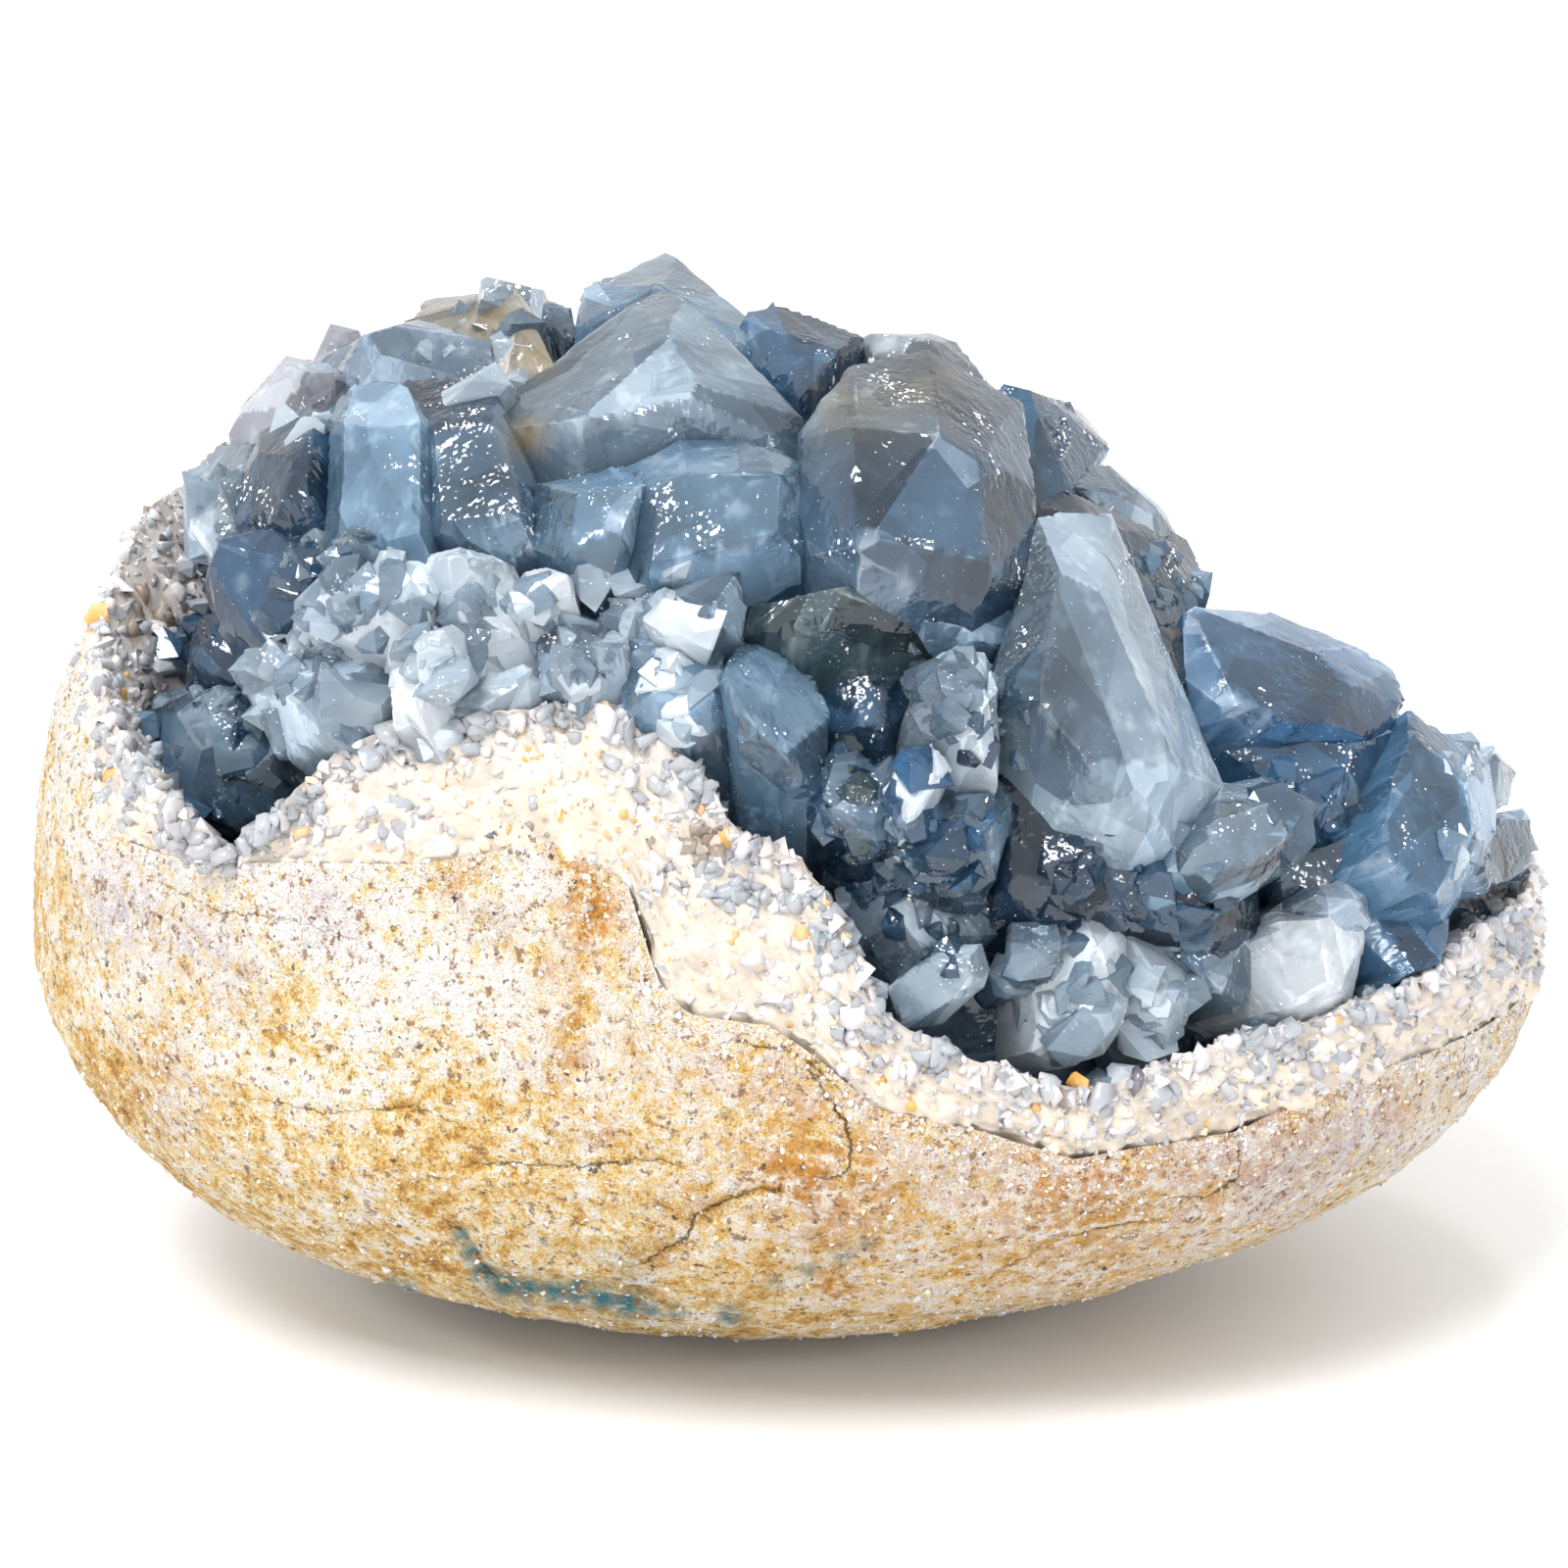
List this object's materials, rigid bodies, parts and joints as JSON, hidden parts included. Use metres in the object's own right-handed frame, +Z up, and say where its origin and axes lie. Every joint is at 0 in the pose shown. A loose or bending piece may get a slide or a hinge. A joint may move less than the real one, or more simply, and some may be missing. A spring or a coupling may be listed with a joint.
{
  "type": "celestite geode",
  "caption": "Half of an egg-shaped limestone nodule broken open, its hollow rimmed with white druse and heaped with large pale blue celestite crystals",
  "frame": {"origin": "On the table, under the middle of the nodule, in the middle of its small flat resting spot", "axes": "+Z up, X along the nodule's long axis with the low end of the crystals at +X, -Y towards the side with the dip in the rim"},
  "size_m": [0.1107, 0.0725, 0.0768],
  "materials": {
    "limestone": "rough grainy cream and ochre limestone with rust, grey and teal stains",
    "druse": "small white to grey translucent crystal grains",
    "celestite": "clear to milky pale blue crystal with flat glassy faces"
  },
  "bodies": {
    "root": {"limestone_rind": "limestone", "druse_crust": "druse", "celestite_crystals": "celestite"}
  },
  "joints": []
}
